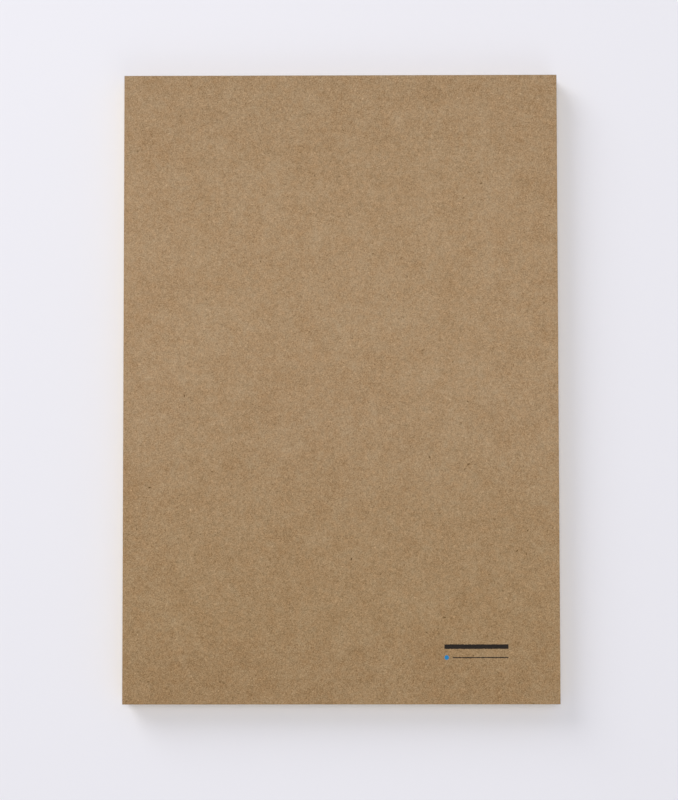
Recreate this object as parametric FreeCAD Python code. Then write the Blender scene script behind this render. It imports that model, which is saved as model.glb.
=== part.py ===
import FreeCAD, Part
import math
import os
import random

# A gummed writing pad that lies on its first leaf, with its stiff backing board on top.
# Millimetres. The origin is the middle of the resting face, +Y points to the gummed head,
# +X to the right for someone who looks down on the board, and +Z up.

# Trimmed size of the pad, with the gum at its head included
pad_width = 145.0
pad_length = 210.0

# Leaves of writing paper
leaf_count = 80
leaf_thickness = 0.1

# Cut edge of each leaf: its corners are pressed round, which leaves a fine groove between leaves
leaf_edge_groove = 0.04
leaf_edge_round = 0.03

# Leaves creep a little against each other once the pad has been handled, singly and in lifts.
# They are drawn narrower by as much, so that none stands proud of the board.
leaf_creep = 0.03
lift_creep = 0.09
leaves_in_a_lift = 10

# Backing board: solid chipboard, its outer arris softened by the knife and the packing
board_thickness = 1.0
board_arris = 0.15

# Film of padding gum over the head of the leaves and of the board, brushed on along the head.
# It thins out towards its rims, over the outer part of the pad's height.
gum_thickness = 0.25
gum_rim_thickness = 0.12
gum_rim_height = 0.9
gum_ripple = 0.08
gum_ripple_spacing = 12.0

# The creep and the ripple are drawn from fixed seeds, so that each build is the same
creep_seed = 7
ripple_seed = 3

# Places that follow from the sizes above
half_width = pad_width / 2
foot_plane = -pad_length / 2
head_plane = pad_length / 2 - gum_thickness
stack_height = leaf_count * leaf_thickness
pad_height = stack_height + board_thickness


def rectangle_wire(left, right, foot, head, level):
    corners = [
        FreeCAD.Vector(left, foot, level),
        FreeCAD.Vector(right, foot, level),
        FreeCAD.Vector(right, head, level),
        FreeCAD.Vector(left, head, level),
    ]
    return Part.makePolygon(corners + corners[:1])


def leaf_outline(level, inset, shift, shortfall):
    """Outline of a leaf. All leaves are knocked up square at the head, where the gum holds them."""
    reach = half_width - lift_creep - leaf_creep - inset
    foot = foot_plane + shortfall + inset
    return rectangle_wire(shift - reach, shift + reach, foot, head_plane, level)


def ruled_sheets():
    """The block of leaves as one solid, with the cut edge of every leaf on its three free sides."""
    chance = random.Random(creep_seed)
    outlines = [leaf_outline(0, leaf_edge_groove, 0, 0)]
    lift_shift = 0
    lift_shortfall = 0
    for leaf in range(leaf_count):
        if leaf % leaves_in_a_lift == 0:
            lift_shift = chance.uniform(-lift_creep, lift_creep)
            lift_shortfall = chance.uniform(0, lift_creep)
        shift = lift_shift + chance.uniform(-leaf_creep, leaf_creep)
        shortfall = lift_shortfall + chance.uniform(0, leaf_creep)
        bottom = leaf * leaf_thickness
        top = bottom + leaf_thickness
        round_height = min(leaf_edge_round, leaf_thickness / 3)
        outlines.append(leaf_outline(bottom + round_height, 0, shift, shortfall))
        outlines.append(leaf_outline(top - round_height, 0, shift, shortfall))
        outlines.append(leaf_outline(top, leaf_edge_groove, shift, shortfall))
    return Part.makeLoft(outlines, True, True)


def backing_board():
    """Stiff board, cut flush with the leaves. Its outer arris is soft on the three cut sides."""
    corner = FreeCAD.Vector(-half_width, foot_plane, stack_height)
    board = Part.makeBox(pad_width, head_plane - foot_plane, board_thickness, corner)
    cut_sides = []
    for edge in board.Edges:
        middle = edge.CenterOfMass
        on_outer_face = math.isclose(middle.z, pad_height)
        on_head = math.isclose(middle.y, head_plane)
        if on_outer_face and not on_head:
            cut_sides.append(edge)
    return board.makeFillet(board_arris, cut_sides)


def gum_section(across, crest):
    """Section of the film: flat where it grips the head, full in the middle, thin at both rims."""
    rim = head_plane + gum_rim_thickness
    full = head_plane + crest
    slope = min(gum_rim_height, pad_height / 3)
    corners = [
        FreeCAD.Vector(across, head_plane, 0),
        FreeCAD.Vector(across, rim, 0),
        FreeCAD.Vector(across, full, slope),
        FreeCAD.Vector(across, full, pad_height - slope),
        FreeCAD.Vector(across, rim, pad_height),
        FreeCAD.Vector(across, head_plane, pad_height),
    ]
    return Part.makePolygon(corners + corners[:1])


def head_gum():
    """The film runs from side to side in brush ripples, and is thickest at its two cut ends."""
    chance = random.Random(ripple_seed)
    spans = max(1, round(pad_width / gum_ripple_spacing))
    sections = []
    for step in range(spans + 1):
        across = step * pad_width / spans - half_width
        dip = gum_ripple * chance.random() if 0 < step < spans else 0
        sections.append(gum_section(across, gum_thickness - dip))
    return Part.makeLoft(sections, True, True)


os.makedirs("parts", exist_ok=True)
pieces = {
    "ruled_sheets": ruled_sheets(),
    "backing_board": backing_board(),
    "head_gum": head_gum(),
}
for name, piece in pieces.items():
    piece.exportStep(os.path.join("parts", name + ".step"))
    print(name, "solids", len(piece.Solids), "valid", piece.isValid(), "volume", round(piece.Volume, 3))
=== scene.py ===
# %% [markdown]
# A legal pad, seen from straight above
#
# The pad is a block of yellow ruled leaves, gummed along the head, with a stiff kraft board
# behind them. It lies face down, so the picture is mostly one quiet brown surface.
# Such a thing could be drawn as a brown box. It would look dead, because all the interest of
# a kraft board is small: wood fibres, cloudy patches where the pulp lay thicker, dark shives.
# So the solids come ready from the workshop drawing, and this file spends its effort on the
# finish of each surface, on the cut edges, and on a light as soft as a studio's.

# %% Load the pad's solids and keep their box
import bpy
import math
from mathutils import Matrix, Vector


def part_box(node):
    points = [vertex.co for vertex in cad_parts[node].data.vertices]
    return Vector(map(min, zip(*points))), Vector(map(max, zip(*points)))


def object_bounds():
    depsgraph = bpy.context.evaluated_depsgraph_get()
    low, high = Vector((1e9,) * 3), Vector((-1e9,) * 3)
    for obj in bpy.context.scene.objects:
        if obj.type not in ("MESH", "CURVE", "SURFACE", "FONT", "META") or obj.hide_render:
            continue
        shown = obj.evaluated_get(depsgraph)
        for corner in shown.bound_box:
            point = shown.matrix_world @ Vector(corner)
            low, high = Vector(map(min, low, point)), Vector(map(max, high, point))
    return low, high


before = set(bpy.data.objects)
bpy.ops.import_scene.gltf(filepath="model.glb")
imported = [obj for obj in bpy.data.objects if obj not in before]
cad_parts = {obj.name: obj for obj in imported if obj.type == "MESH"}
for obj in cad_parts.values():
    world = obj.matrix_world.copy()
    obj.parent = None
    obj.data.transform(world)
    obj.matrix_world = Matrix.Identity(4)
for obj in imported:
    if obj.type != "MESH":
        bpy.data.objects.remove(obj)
solids_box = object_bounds()
print("pieces of the pad:", sorted(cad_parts))

# %% [markdown]
# Real sizes
#
# Blender works in metres, while a stationer thinks in millimetres. One factor turns the one
# into the other, so every size below can be written as it would be measured with a rule.
# The places of the faces and edges are read from the solids and not typed in again.

# %% Millimetres, and the places that the solids give
MM = 0.001

pad_low, pad_high = solids_box
pad_width = pad_high.x - pad_low.x
pad_length = pad_high.y - pad_low.y
board_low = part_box("backing_board")[0]
print("box of the pad in mm:", [round(side / MM, 2) for side in pad_high - pad_low])
print("the board starts", round(board_low.z / MM, 2), "mm up")

# %% [markdown]
# Helpers for materials
#
# Colours are noted as a painter would read them off a swatch, in sRGB hex. Cycles counts
# light, which is linear, so each colour passes through one function.
# A shader is a handful of nodes joined by wires. One small function adds a node, sets what
# is a plain value and links what is a wire, and that keeps each recipe short enough to read.

# %% Hex swatch to linear light
def swatch(hex_code):
    channels = [int(hex_code[place:place + 2], 16) / 255 for place in (1, 3, 5)]
    light = [c / 12.92 if c <= 0.04045 else ((c + 0.055) / 1.055) ** 2.4 for c in channels]
    return (*light, 1.0)


print("a mid grey swatch in linear light:", [round(c, 3) for c in swatch("#808080")])

# %% Add one node with its settings and wires
def add(material, kind, inputs=None, **settings):
    tree = material.node_tree
    node = tree.nodes.new("ShaderNode" + kind)
    for name, value in settings.items():
        setattr(node, name, value)
    for socket, value in (inputs or {}).items():
        if isinstance(value, bpy.types.NodeSocket):
            tree.links.new(value, node.inputs[socket])
        else:
            node.inputs[socket].default_value = value
    return node


# The mix node keeps a set of sockets for each kind of value, so a colour's are known by place
MIX_FACTOR, MIX_FIRST, MIX_SECOND, MIX_RESULT = 0, 6, 7, 2


# %% Start a material, and give a piece its finish
def new_finish(name):
    material = bpy.data.materials.new(name)
    material.use_nodes = True
    material.node_tree.nodes.clear()
    return material


def dress(piece, material):
    piece.data.materials.clear()
    piece.data.materials.append(material)
    print(piece.name, "is finished in", material.name)


# %% [markdown]
# Tones and masks
#
# Paper and board are never one colour. A tone is a pattern that swings about nought, darker
# and lighter. A mask runs from 0 to 1 and says where something is: a speck, a line, an edge.
# An image could hold both, but it would blur close up and repeat. Noise is worked out at
# each point from its real size, so it stays sharp and never repeats over the board.
# A noise has no direction of its own. It is stretched by counting the place in long steps
# along one axis and short ones along another, before the noise is looked up.

# %% Count a place in steps from a middle, along axes that may be turned
def in_steps(material, place, steps, middle=(0, 0, 0), turn=0.0):
    return add(material, "Mapping", {"Vector": place, "Location": middle,
                                     "Rotation": (0, 0, turn), "Scale": steps},
               vector_type="TEXTURE").outputs[0]


# %% One noise of a real size, turned to swing from about -1 to 1
# The noise itself keeps mostly between these two values
noise_low = 0.2
noise_high = 0.8
noise_middle = (noise_low + noise_high) / 2
# The size of a noise over a place that is already counted in steps
one_step = 1.0


def noise_tone(material, place, size, detail=2.0, roughness=0.5):
    noise = add(material, "TexNoise", {"Vector": place, "Scale": 1 / size, "Detail": detail,
                                       "Roughness": roughness})
    return add(material, "MapRange", {"Value": noise.outputs["Fac"], "From Min": noise_low,
                                      "From Max": noise_high, "To Min": -1.0, "To Max": 1.0},
               clamp=False).outputs[0]


# %% Add up tones, each with its own weight
def weigh(material, tones, start=0.0):
    total = start
    for tone, weight in tones:
        total = add(material, "Math", {0: tone, 1: weight, 2: total},
                    operation="MULTIPLY_ADD").outputs[0]
    return total


# %% A mask that is 1 where a value is under a limit, with a soft rim
def under(material, value, limit, softness):
    return add(material, "MapRange", {"Value": value, "From Min": limit + softness,
                                      "From Max": limit - softness}).outputs[0]


# %% One mask out of several, the strongest of them at each point
def strongest(material, masks):
    mask = masks[0]
    for other in masks[1:]:
        mask = add(material, "Math", {0: mask, 1: other}, operation="MAXIMUM").outputs[0]
    return mask


# %% Paint one colour over another where a mask says so
def paint_over(material, ground, colour, mask):
    return add(material, "Mix", {MIX_FACTOR: mask, MIX_FIRST: ground, MIX_SECOND: colour},
               data_type="RGBA").outputs[MIX_RESULT]


# %% Darken or lighten a colour by a tone that swings about 1
def shade(material, colour, tone):
    return add(material, "Mix", {MIX_FACTOR: 1.0, MIX_FIRST: colour, MIX_SECOND: tone},
               data_type="RGBA", blend_type="MULTIPLY").outputs[MIX_RESULT]


# %% Lift the surface where a tone is high
def relief(material, tone, depth, strength):
    return add(material, "Bump", {"Strength": strength, "Distance": depth,
                                  "Height": tone}).outputs[0]


# %% How far a surface faces up: 1 on top, 0 on a side, -1 underneath
def facing_up(material):
    normal = add(material, "NewGeometry").outputs["Normal"]
    return add(material, "SeparateXYZ", {0: normal}).outputs["Z"]


# %% [markdown]
# Kraft liner: the cloudy ground
#
# The board is chip pulp with a liner of unbleached kraft, pressed between felts and left
# uncoated. To the eye that gives three things. First a warm brown that drifts in patches of
# two or three centimetres, where the pulp lay thicker. Then clouds of a few millimetres, with
# flocs and tufts of about one millimetre in them, where fibres clung together. Last a felt of
# fibres, each far thinner than a pixel here, which reads as a fine grain.
# Each is one noise at its own real size, and they are added up into one tone.

# %% Sizes of the liner's patches, clouds, flocs, tufts and grain, as drawn
patch_size = 26 * MM
cloud_size = 6 * MM
floc_size = 1.6 * MM
tuft_size = 0.8 * MM
# Kraft fibres are 0.03 mm thick. That is too fine to show, so the grain is drawn at 0.35 mm.
grain_size = 0.35 * MM
print("patches across the board:", round(pad_width / patch_size, 1))


# %% The liner's ground tones
def liner_tones(board, place):
    return {
        "patches": noise_tone(board, place, patch_size),
        "clouds": noise_tone(board, place, cloud_size),
        "flocs": noise_tone(board, place, floc_size),
        "tufts": noise_tone(board, place, tuft_size, roughness=0.6),
        "grain": noise_tone(board, place, grain_size, roughness=0.6),
    }


# %% [markdown]
# Kraft liner: the fibres
#
# Some fibres lie on top of the felt and can be told apart, as fine threads a few millimetres
# long. They could be hair curves by the thousand, but they have no height to speak of.
# A noise that is stretched one way crosses its own middle value along long thin lines, and
# such a line looks like a fibre. Three of them, turned about sixty degrees apart, make a web
# with no direction, as fibres settle on a moulding wire.

# %% One layer of threads that lie about one way
fibre_length = 2.4 * MM
# A fibre is 0.03 mm thick, and is drawn at about 0.15 mm
fibre_spread = 0.55 * MM
fibre_fineness = 0.06
fibre_bend = 0.8


def fibre_layer(material, place, turn):
    laid = in_steps(material, place, (fibre_length, fibre_spread, fibre_spread), turn=turn)
    noise = add(material, "TexNoise", {"Vector": laid, "Scale": one_step, "Detail": 1.0,
                                       "Distortion": fibre_bend}).outputs["Fac"]
    off_middle = add(material, "Math", {0: noise, 1: noise_middle},
                     operation="SUBTRACT").outputs[0]
    distance = add(material, "Math", {0: off_middle}, operation="ABSOLUTE").outputs[0]
    return under(material, distance, fibre_fineness / 2, fibre_fineness / 2)


# %% [markdown]
# Kraft liner: shives
#
# Shives are splinters of wood that were never cooked through. They show as dark specks, most
# about a millimetre long, here and there a pale one, lying any way round. A Voronoi pattern
# deals the plane out in cells and gives each a middle point and a random colour. Each cell
# may get one speck at its middle, and the colour decides if it does, how it lies and how
# strong it is.

# %% Specks at random, each in a cell of its own
# A speck's rim lies at this share of its half size, and fades by this much to either side
speck_edge = 0.8
speck_fade = 0.4


def specks(material, place, cell, share, length, width):
    flat = add(material, "VectorMath", {0: place, 1: (1, 1, 0)}, operation="MULTIPLY").outputs[0]
    cells = add(material, "TexVoronoi", {"Vector": flat, "Scale": 1 / cell},
                voronoi_dimensions="2D")
    luck = add(material, "SeparateColor", {0: cells.outputs["Color"]})
    from_middle = add(material, "VectorMath", {0: flat, 1: cells.outputs["Position"]},
                      operation="SUBTRACT").outputs[0]
    angle = add(material, "Math", {0: luck.outputs[0], 1: math.tau}, operation="MULTIPLY")
    turned = add(material, "VectorRotate", {"Vector": from_middle, "Angle": angle.outputs[0]},
                 rotation_type="Z_AXIS").outputs[0]
    measured = add(material, "VectorMath", {0: turned, 1: (2 / length, 2 / width, 0)},
                   operation="MULTIPLY").outputs[0]
    distance = add(material, "VectorMath", {0: measured}, operation="LENGTH").outputs["Value"]
    speck = under(material, distance, speck_edge, speck_fade)
    chosen = add(material, "Math", {0: luck.outputs[1], 1: share}, operation="LESS_THAN")
    strength = add(material, "Math", {0: luck.outputs[2], 1: chosen.outputs[0]},
                   operation="MULTIPLY").outputs[0]
    return add(material, "Math", {0: speck, 1: strength}, operation="MULTIPLY").outputs[0]


# %% The largest shives of this board, listed one by one
# Each is its place from the middle of the board in mm, the way it lies in degrees, and its
# strength
large_shives = [
    ((-63.6, -33.3), 10, 0.9),
    ((3.5, -57.0), 70, 0.9),
    ((42.4, -25.7), 25, 0.7),
    ((34.2, -76.4), 0, 0.55),
    ((-52.1, -2.7), 90, 0.65),
    ((58.5, -54.3), 40, 0.65),
    ((27.3, 12.3), 15, 0.55),
    ((29.5, -23.3), 120, 0.85),
    ((47.1, 68.3), 55, 0.75),
    ((-42.8, -28.0), 150, 0.6),
]
shive_length = 1.2 * MM
shive_width = 0.5 * MM


def laid_shive(material, place, middle, degrees, strength):
    where = (middle[0] * MM, middle[1] * MM, pad_high.z)
    half_sizes = in_steps(material, place, (shive_length / 2, shive_width / 2, MM),
                          middle=where, turn=math.radians(degrees))
    distance = add(material, "VectorMath", {0: half_sizes}, operation="LENGTH").outputs["Value"]
    mask = under(material, distance, speck_edge, speck_fade)
    return add(material, "Math", {0: mask, 1: strength}, operation="MULTIPLY").outputs[0]


print("large shives on the board:", len(large_shives))

# %% [markdown]
# Printed mark
#
# A board like this often carries a small printed mark in a lower corner. Here it is a bar
# over a thin rule, with a blue dot in front, and it says nothing. The ink is flat colour
# that soaked into the felt, so its edges wander a little and fibres show through it.
# It could be a decal on a plane of its own. A mask in the board's own material is simpler
# and can't float off the surface.

# %% Places and sizes of the mark, from the middle of the board
mark_left = 34.2
mark_right = 55.4
bar_middle_y = -86.0
bar_height = 1.5
rule_middle_y = -89.6
# The rule's hairline is 0.2 mm. It is drawn at 0.35 mm, about a pixel.
rule_height = 0.35
dot_diameter = 1.5
dot_gap = 1.2
ink_black = "#140A04"
ink_blue = "#0B7FBA"
# The ink's edge strays this far, in bays of this size
ink_wander = 0.12 * MM
ink_wander_size = 0.5 * MM
ink_fade = 0.06 * MM
# How much of the board the ink hides, and how far the felt's grain changes that
ink_cover = 0.985
ink_cover_swing = 0.05
print("the mark is", round(mark_right - mark_left, 1), "mm wide")


# %% Masks of a printed strip and a printed dot
def printed_strip(material, place, left, right, middle_y, height):
    middle = ((left + right) / 2 * MM, middle_y * MM, pad_high.z)
    offset = add(material, "VectorMath", {0: place, 1: middle}, operation="SUBTRACT").outputs[0]
    size = add(material, "VectorMath", {0: offset}, operation="ABSOLUTE").outputs[0]
    half = ((right - left) / 2 * MM, height / 2 * MM, MM)
    past = add(material, "VectorMath", {0: size, 1: half}, operation="SUBTRACT").outputs[0]
    sides = add(material, "SeparateXYZ", {0: past})
    furthest = add(material, "Math", {0: sides.outputs["X"], 1: sides.outputs["Y"]},
                   operation="MAXIMUM").outputs[0]
    return under(material, furthest, 0.0, ink_fade)


def printed_dot(material, place, middle_x, middle_y, diameter):
    middle = (middle_x * MM, middle_y * MM, pad_high.z)
    offset = add(material, "VectorMath", {0: place, 1: middle}, operation="SUBTRACT").outputs[0]
    distance = add(material, "VectorMath", {0: offset}, operation="LENGTH").outputs["Value"]
    return under(material, distance, diameter / 2 * MM, ink_fade)


# %% The whole mark on a ground colour
def print_mark(material, place, ground, felt):
    noise = add(material, "TexNoise", {"Vector": place, "Scale": 1 / ink_wander_size})
    swing = add(material, "VectorMath", {0: noise.outputs["Color"], 1: [noise_middle] * 3},
                operation="SUBTRACT").outputs[0]
    wander = add(material, "VectorMath", {0: swing, "Scale": 2 * ink_wander},
                 operation="SCALE").outputs[0]
    soaked = add(material, "VectorMath", {0: place, 1: wander}, operation="ADD").outputs[0]
    rule_left = mark_left + dot_diameter + dot_gap
    black = strongest(material, [
        printed_strip(material, soaked, mark_left, mark_right, bar_middle_y, bar_height),
        printed_strip(material, soaked, rule_left, mark_right, rule_middle_y, rule_height),
    ])
    blue = printed_dot(material, soaked, mark_left + dot_diameter / 2, rule_middle_y, dot_diameter)
    cover = weigh(material, [(felt, ink_cover_swing)], start=ink_cover)
    inked = ground
    for mask, ink in ((black, ink_black), (blue, ink_blue)):
        strength = add(material, "Math", {0: mask, 1: cover}, operation="MULTIPLY",
                       use_clamp=True).outputs[0]
        inked = paint_over(material, inked, swatch(ink), strength)
    return inked


# %% [markdown]
# Cut edge of the board
#
# The knife leaves the board's side open: the core is made of several plies of grey-brown
# chip, with a thin skin of kraft on top. It is rougher and a little darker than the face.
# The plies are drawn as a noise that is stretched along the edge and squeezed upwards.

# %% The core's plies
ply_height = 0.22 * MM
ply_run = 5 * MM
ply_contrast = 0.3
crumb_size = 0.45 * MM
crumb_contrast = 0.2
chip_core = "#9A8062"
chip_level = 0.94


def cut_edge(material, place):
    laid = in_steps(material, place, (ply_run, ply_run, ply_height))
    plies = noise_tone(material, laid, one_step, detail=3.0)
    crumbs = noise_tone(material, place, crumb_size)
    tone = weigh(material, [(plies, ply_contrast), (crumbs, crumb_contrast)], start=chip_level)
    return shade(material, swatch(chip_core), tone)


# %% [markdown]
# Kraft board: the finish
#
# The ground tones, the fibres and the shives are added up into how bright the board is at
# each point. A painted sheen makes it a touch paler a little above its middle, where the
# overhead light's sheen lies, and darker towards its ends; it is also drawn a touch yellower
# at its foot. A weaker drift between a redder and a greyer brown keeps the hue alive. The liner
# was pressed smooth on a warm cylinder, which leaves a soft sheen: a roughness of about 0.6 at
# the usual index of refraction of 1.5. Loose fibres break that gloss up, so its level is
# halved. The same grain lifts the surface a few hundredths of a millimetre.

# %% How strong each part of the liner's tone is
kraft_brown = "#A9865F"
kraft_grey_brown = "#9E8667"
tone_weights = {"patches": 0.04, "clouds": 0.08, "flocs": 0.035, "tufts": 0.055, "grain": 0.355}
liner_level = 1.04
# The drift between the two browns, about half of each
drift_weights = {"patches": 0.1, "clouds": 0.2, "flocs": 0.3}
drift_middle = 0.5
# Each layer of fibres lies its own way, here in radians
pale_fibre_turns = (0.2, 1.2, 2.3)
dark_fibre_turns = (0.7, 1.7, 2.8)
pale_fibre_weight = 0.13
dark_fibre_weight = -0.13
# Where fibres lie darker they are also browner, so blue light falls off faster than red
hue_depth = (0.0, 0.09, 0.34)


# %% Painted sheen: the board is drawn palest a little above its middle, and darker towards its ends
# It is even this far to either side of that place, and darkens steadily from there on
sheen_middle_y = 30 * MM
even_reach = 22 * MM
painted_shade_at_ends = -0.14


def ends_away_from_sheen(board, place):
    along = add(board, "SeparateXYZ", {0: place}).outputs["Y"]
    offset = add(board, "Math", {0: along, 1: sheen_middle_y}, operation="SUBTRACT").outputs[0]
    away = add(board, "Math", {0: offset}, operation="ABSOLUTE").outputs[0]
    return add(board, "MapRange", {"Value": away, "From Min": even_reach,
                                   "From Max": sheen_middle_y + pad_length / 2}).outputs[0]


# %% The foot of the board, a little yellower than the rest
# The tint sets in at the first place, and is at its full strength from the second on
tint_start_y = -10 * MM
tint_full_y = -75 * MM
foot_tint = "#FFFDF6"


def yellower_foot(board, place, ground):
    along = add(board, "SeparateXYZ", {0: place}).outputs["Y"]
    share = add(board, "MapRange", {"Value": along, "From Min": tint_start_y,
                                    "From Max": tint_full_y}).outputs[0]
    return shade(board, ground, paint_over(board, swatch("#FFFFFF"), swatch(foot_tint), share))


# %% Shives and specks of the liner, dark and pale
# How far apart they may lie, how many of the places hold one, and their length and width
dark_specks = (7 * MM, 0.4, 1.0 * MM, 0.4 * MM)
pale_specks = (6 * MM, 0.4, 0.8 * MM, 0.4 * MM)
large_shive_weight = -0.78
dark_speck_weight = -0.52
pale_speck_weight = 0.52


# %% Brightness of the liner
def liner_brightness(board, place, tones):
    parts = [(tones[name], weight) for name, weight in tone_weights.items()]
    for turn in pale_fibre_turns:
        parts.append((fibre_layer(board, place, turn), pale_fibre_weight))
    for turn in dark_fibre_turns:
        parts.append((fibre_layer(board, place, turn), dark_fibre_weight))
    large = strongest(board, [laid_shive(board, place, *shive) for shive in large_shives])
    parts.append((large, large_shive_weight))
    parts.append((specks(board, place, *dark_specks), dark_speck_weight))
    parts.append((specks(board, place, *pale_specks), pale_speck_weight))
    # Painted shade: the ends are drawn darker than the band where the overhead light's sheen lies
    parts.append((ends_away_from_sheen(board, place), painted_shade_at_ends))
    return weigh(board, parts, start=liner_level)


# %% The board's finish
kraft_roughness = 0.6
kraft_roughness_swing = 0.05
kraft_gloss_level = 0.25
cellulose_refraction = 1.5
felt_depth = 0.04 * MM
felt_strength = 0.5
# The kraft face rolls over into the cut edge between these two ways of facing up
edge_facing = 0.3
face_facing = 0.8


def kraft_board_finish():
    board = new_finish("kraft_lined_chipboard_uncoated")
    place = add(board, "TexCoord").outputs["Object"]
    tones = liner_tones(board, place)
    drift = weigh(board, [(tones[name], weight) for name, weight in drift_weights.items()],
                  start=drift_middle)
    liner = paint_over(board, swatch(kraft_brown), swatch(kraft_grey_brown), drift)
    ground = yellower_foot(board, place, liner)
    depth = add(board, "VectorMath", {0: liner_brightness(board, place, tones),
                                      1: [1 + more for more in hue_depth],
                                      2: [-more for more in hue_depth]},
                operation="MULTIPLY_ADD").outputs[0]
    face = shade(board, ground, depth)
    printed = print_mark(board, place, face, tones["grain"])
    on_face = add(board, "MapRange", {"Value": facing_up(board), "From Min": edge_facing,
                                      "From Max": face_facing}).outputs[0]
    colour = paint_over(board, cut_edge(board, place), printed, on_face)
    sheen = weigh(board, [(tones["flocs"], kraft_roughness_swing)], start=kraft_roughness)
    lifted = relief(board, tones["grain"], felt_depth, felt_strength)
    shader = add(board, "BsdfPrincipled", {"Base Color": colour, "Roughness": sheen,
                                           "IOR": cellulose_refraction,
                                           "Specular IOR Level": kraft_gloss_level,
                                           "Normal": lifted})
    add(board, "OutputMaterial", {"Surface": shader.outputs[0]})
    return board


dress(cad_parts["backing_board"], kraft_board_finish())

# %% [markdown]
# Leaves: canary writing paper
#
# The leaves are uncoated writing paper, dyed canary yellow in the pulp, so the colour goes
# right through and the cut edges are as yellow as the face. The edges are what shows. The
# solid already has a fine groove between one leaf and the next. A leaf is only 0.1 mm thick,
# finer than a pixel, so the shade and light between uneven leaves is also painted: some leaves
# are drawn darker or paler, in streaks of about 0.3 mm, which is how an eye sees a stack of
# paper. The streaks run straight and nearly from end to end, because anything shorter or
# wavier would look like wood.

# %% Streaks along the cut edge of the leaves
streak_height = 0.3 * MM
streak_run = 300 * MM
streak_contrast = 1.0
# Without any streak the edge is this far from its pale colour to its deep one
streak_middle = 0.45
canary = "#F7E6A3"
canary_edge = "#F7E9BA"
# The deep colour is partly the edge's own tone, and where the streaks reach it, painted shade
# between leaves
canary_edge_deep = "#D4BC85"


def leaf_edges(paper, place):
    laid = in_steps(paper, place, (streak_run, streak_run, streak_height))
    streaks = noise_tone(paper, laid, one_step, detail=3.0, roughness=0.7)
    depth = weigh(paper, [(streaks, streak_contrast)], start=streak_middle)
    return paint_over(paper, swatch(canary_edge), swatch(canary_edge_deep), depth)


# %% [markdown]
# Leaves: the writing face
#
# The first leaf looks down at the table, and shows only when the pad is seen from below.
# It is ruled like any legal pad: a blank space at the head, pale blue rules below it, and a
# double red margin on the reader's left. The reader looks at this face from below, so the
# left hand is at +X. Each rule is a mask: how far the nearest multiple of the spacing is.

# %% Ruling of the writing face
head_space = 28 * MM
rule_spacing = 7.1 * MM
margin_from_left = 26 * MM
margin_gap = 1.2 * MM
# The lines are 0.15 mm wide, and are drawn at 0.3 mm
line_width = 0.3 * MM
line_fade = 0.05 * MM
rule_blue = "#93B5CF"
margin_red = "#D48A84"
print("rules on a leaf:", int((pad_length - head_space) / rule_spacing) + 1)


def writing_face(paper, place, ground):
    spot = add(paper, "SeparateXYZ", {0: place})
    first_rule = pad_high.y - head_space
    below_first = add(paper, "Math", {0: first_rule, 1: spot.outputs["Y"]},
                      operation="SUBTRACT").outputs[0]
    to_rule = add(paper, "Math", {0: below_first, 1: rule_spacing / 2},
                  operation="PINGPONG").outputs[0]
    rules = under(paper, to_rule, line_width / 2, line_fade)
    started = add(paper, "Math", {0: below_first, 1: -line_width}, operation="GREATER_THAN")
    rules = add(paper, "Math", {0: rules, 1: started.outputs[0]}, operation="MULTIPLY").outputs[0]
    margins = []
    for side in (0, margin_gap):
        line_x = pad_high.x - margin_from_left + side
        away = add(paper, "Math", {0: spot.outputs["X"], 1: line_x}, operation="SUBTRACT")
        distance = add(paper, "Math", {0: away.outputs[0]}, operation="ABSOLUTE").outputs[0]
        margins.append(under(paper, distance, line_width / 2, line_fade))
    ruled = paint_over(paper, ground, swatch(rule_blue), rules)
    return paint_over(paper, ruled, swatch(margin_red), strongest(paper, margins))


# %% The leaves' finish
formation_size = 3 * MM
formation_contrast = 0.015
tooth_size = 0.4 * MM
tooth_contrast = 0.03
tooth_depth = 0.03 * MM
tooth_strength = 0.4
paper_roughness = 0.85
# The ruling is on the first leaf's face alone, and not on the rounded rims beside it
ruling_height = 0.01 * MM


def canary_paper_finish():
    paper = new_finish("canary_writing_paper_uncoated")
    place = add(paper, "TexCoord").outputs["Object"]
    formation = noise_tone(paper, place, formation_size, detail=3.0)
    tooth = noise_tone(paper, place, tooth_size, detail=3.0, roughness=0.7)
    tone = weigh(paper, [(formation, formation_contrast), (tooth, tooth_contrast)], start=1.0)
    sheet = writing_face(paper, place, swatch(canary))
    height = add(paper, "SeparateXYZ", {0: place}).outputs["Z"]
    on_face = under(paper, height, pad_low.z + ruling_height, ruling_height / 2)
    colour = paint_over(paper, leaf_edges(paper, place), sheet, on_face)
    lifted = relief(paper, tooth, tooth_depth, tooth_strength)
    shader = add(paper, "BsdfPrincipled", {"Base Color": shade(paper, colour, tone),
                                           "Roughness": paper_roughness,
                                           "IOR": cellulose_refraction, "Normal": lifted})
    add(paper, "OutputMaterial", {"Surface": shader.outputs[0]})
    return paper


dress(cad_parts["ruled_sheets"], canary_paper_finish())

# %% [markdown]
# Padding gum
#
# The gum is a rubbery emulsion, brushed on along the head in two coats and dried to a film a
# quarter of a millimetre thick. It is milky and half clear: yellow shines through it over the
# leaves and brown over the board. The brush leaves long low ridges that catch the light.
# It could be a clear material over the paper. In so thin a film nothing can be told apart
# behind it, so tinting the film where it crosses the leaves or the board gives the same look.

# %% The gum's finish
gum_milk = "#BFB5A6"
gum_over_leaves = "#BEA985"
gum_over_board = "#8C755A"
brush_run = 22 * MM
# Bristle marks are about 0.2 mm wide, and are drawn at 0.6 mm
brush_width = 0.6 * MM
ridge_depth = 0.08 * MM
ridge_strength = 0.6
puddle_size = 7 * MM
milk_level = 0.45
milk_weights = {"strokes": 0.22, "puddles": 0.2}
gum_roughness = 0.4
gum_roughness_swing = 0.06
gum_refraction = 1.48
# The colour behind the film changes over a third of a millimetre, because the gum spreads light
gum_spread = 0.15 * MM


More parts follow.
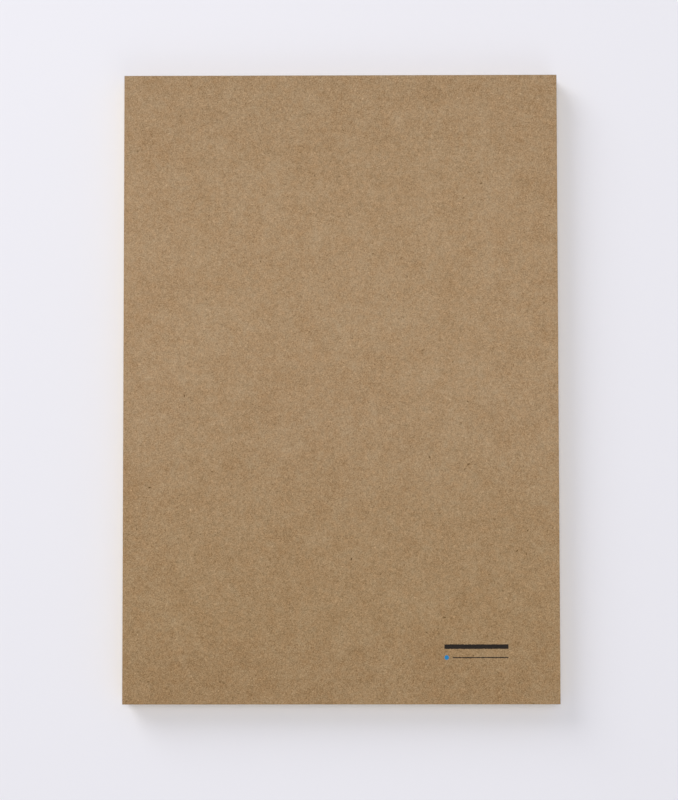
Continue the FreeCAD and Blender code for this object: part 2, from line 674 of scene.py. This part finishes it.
def padding_gum_finish():
    gum = new_finish("padding_gum_brushed")
    place = add(gum, "TexCoord").outputs["Object"]
    laid = in_steps(gum, place, (brush_run, brush_width, brush_width))
    strokes = noise_tone(gum, laid, one_step, detail=3.0, roughness=0.6)
    puddles = noise_tone(gum, place, puddle_size)
    height = add(gum, "SeparateXYZ", {0: place}).outputs["Z"]
    over_leaves = under(gum, height, board_low.z, gum_spread)
    behind = paint_over(gum, swatch(gum_over_board), swatch(gum_over_leaves), over_leaves)
    milk = weigh(gum, [(strokes, milk_weights["strokes"]), (puddles, milk_weights["puddles"])],
                 start=milk_level)
    colour = paint_over(gum, behind, swatch(gum_milk), milk)
    gloss = weigh(gum, [(puddles, gum_roughness_swing)], start=gum_roughness)
    lifted = relief(gum, strokes, ridge_depth, ridge_strength)
    shader = add(gum, "BsdfPrincipled", {"Base Color": colour, "Roughness": gloss,
                                         "IOR": gum_refraction, "Normal": lifted})
    add(gum, "OutputMaterial", {"Surface": shader.outputs[0]})
    return gum


dress(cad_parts["head_gum"], padding_gum_finish())

# %% [markdown]
# The table, and why it has a hole
#
# The pad lies on a plain pale table. A real photographer sweeps the paper up behind it, so
# that no horizon shows. Here the table fades out for the camera a hand's breadth past the pad,
# into a backdrop of the same tone, and still throws its light back at the pad's sides.
# Under the pad the table is cut away, and its underside can be seen through, so that a view
# from below shows the pad's writing face.

# %% The table top
table_reach = 1.6
cutaway_margin = 0.3 * MM
fade_start = 0.2
fade_end = 0.5
table_white = "#EEEDF4"
print("the table reaches", table_reach, "m out and fades from", fade_start, "to", fade_end, "m")


def table_top():
    inner_x = pad_width / 2 - cutaway_margin
    inner_y = pad_length / 2 - cutaway_margin
    outer = [(-table_reach, -table_reach), (table_reach, -table_reach),
             (table_reach, table_reach), (-table_reach, table_reach)]
    inner = [(-inner_x, -inner_y), (inner_x, -inner_y), (inner_x, inner_y), (-inner_x, inner_y)]
    points = [(x, y, pad_low.z) for x, y in outer + inner]
    sides = [(side, (side + 1) % 4, 4 + (side + 1) % 4, 4 + side) for side in range(4)]
    mesh = bpy.data.meshes.new("table_top")
    mesh.from_pydata(points, [], sides)
    table = bpy.data.objects.new("table_top", mesh)
    bpy.context.scene.collection.objects.link(table)
    return table


# %% The table's finish
def table_finish():
    pale = new_finish("pale_table_paint_matte")
    paint = add(pale, "BsdfDiffuse", {"Color": swatch(table_white)})
    clear = add(pale, "BsdfTransparent")
    place = add(pale, "TexCoord").outputs["Object"]
    distance = add(pale, "VectorMath", {0: place}, operation="LENGTH").outputs["Value"]
    fade = add(pale, "MapRange", {"Value": distance, "From Min": fade_start,
                                  "From Max": fade_end}, interpolation_type="SMOOTHSTEP").outputs[0]
    seen = add(pale, "LightPath").outputs["Is Camera Ray"]
    faded = add(pale, "Math", {0: fade, 1: seen}, operation="MULTIPLY").outputs[0]
    below = add(pale, "NewGeometry").outputs["Backfacing"]
    hidden = add(pale, "Math", {0: faded, 1: below}, operation="MAXIMUM").outputs[0]
    shown = add(pale, "MixShader", {0: hidden, 1: paint.outputs[0], 2: clear.outputs[0]})
    add(pale, "OutputMaterial", {"Surface": shown.outputs[0]})
    return pale


table = table_top()
dress(table, table_finish())

# %% [markdown]
# Light
#
# A product picture like this is lit by a few large softboxes in a pale room. The room itself
# gives nearly half of the light, from everywhere, and that keeps the shadow pale. The key
# light stands fairly low at the upper left, so the pad throws a soft shadow to the right and
# towards the foot. A small box hangs almost overhead. Further towards the head it would give
# the board more sheen, but it would also draw a dark line on the table along the pad's foot.
# A weak fill on the other side lifts the shadow. The powers add up so that a white surface on
# the table comes out white and no brighter.

# %% Room light
room_light = 0.5
backdrop = "#EBEAF0"


def room():
    world = bpy.data.worlds.new("soft_room")
    world.use_nodes = True
    world.node_tree.nodes.clear()
    seen = add(world, "LightPath").outputs["Is Camera Ray"]
    ambient = add(world, "Background", {"Color": (1, 1, 1, 1), "Strength": room_light})
    ground = add(world, "Background", {"Color": swatch(backdrop), "Strength": 1.0})
    mixed = add(world, "MixShader", {0: seen, 1: ambient.outputs[0], 2: ground.outputs[0]})
    add(world, "OutputWorld", {"Surface": mixed.outputs[0]})
    bpy.context.scene.world = world


room()


# %% Softboxes that face the pad
def softbox(name, place, size, power):
    lamp = bpy.data.lights.new(name, "AREA")
    lamp.shape = "DISK"
    lamp.size = size
    lamp.energy = power
    holder = bpy.data.objects.new(name, lamp)
    holder.location = place
    holder.rotation_euler = (-holder.location).to_track_quat("-Z", "Y").to_euler()
    bpy.context.scene.collection.objects.link(holder)
    print(name, "stands", round(holder.location.length, 2), "m from the pad")


def around(turn, height, distance):
    """A place from its turn about the pad, counted from +X to +Y, and its angle up."""
    out = distance * math.cos(math.radians(height))
    return (out * math.cos(math.radians(turn)), out * math.sin(math.radians(turn)),
            distance * math.sin(math.radians(height)))


key_place = around(turn=133, height=30, distance=1.8)
overhead_place = (0, 0.15, 1.6)
fill_place = around(turn=290, height=40, distance=2.0)
softbox("key_softbox", key_place, size=1.2, power=15.0)
softbox("overhead_softbox", overhead_place, size=0.6, power=5.9)
softbox("fill_softbox", fill_place, size=1.2, power=2.8)

# %% [markdown]
# Camera
#
# The picture is a flat lay: a short telephoto lens looks straight down from 64 cm. It leans
# by about two and a half degrees, which makes the foot of the pad a hair wider than its head.
# The place and the lean were found by matching the pad's four corners.

# %% The flat lay camera
focal_length = 85
sensor_side = 36
camera_place = (3.47 * MM, -32.45 * MM, 637.39 * MM)
# Degrees about X, Y and Z
camera_lean = (2.571, 0.373, -0.078)
nearest_seen = 10 * MM
picture_height = sensor_side / focal_length * camera_place[2]
print("at the table the picture is about", round(picture_height / MM), "mm high")


def flat_lay_camera():
    lens = bpy.data.cameras.new("flat_lay_camera")
    lens.lens = focal_length
    lens.sensor_width = sensor_side
    lens.clip_start = nearest_seen
    holder = bpy.data.objects.new("flat_lay_camera", lens)
    holder.location = camera_place
    holder.rotation_euler = [math.radians(turn) for turn in camera_lean]
    bpy.context.scene.collection.objects.link(holder)
    bpy.context.scene.camera = holder


flat_lay_camera()
bpy.context.scene.view_settings.view_transform = "Standard"
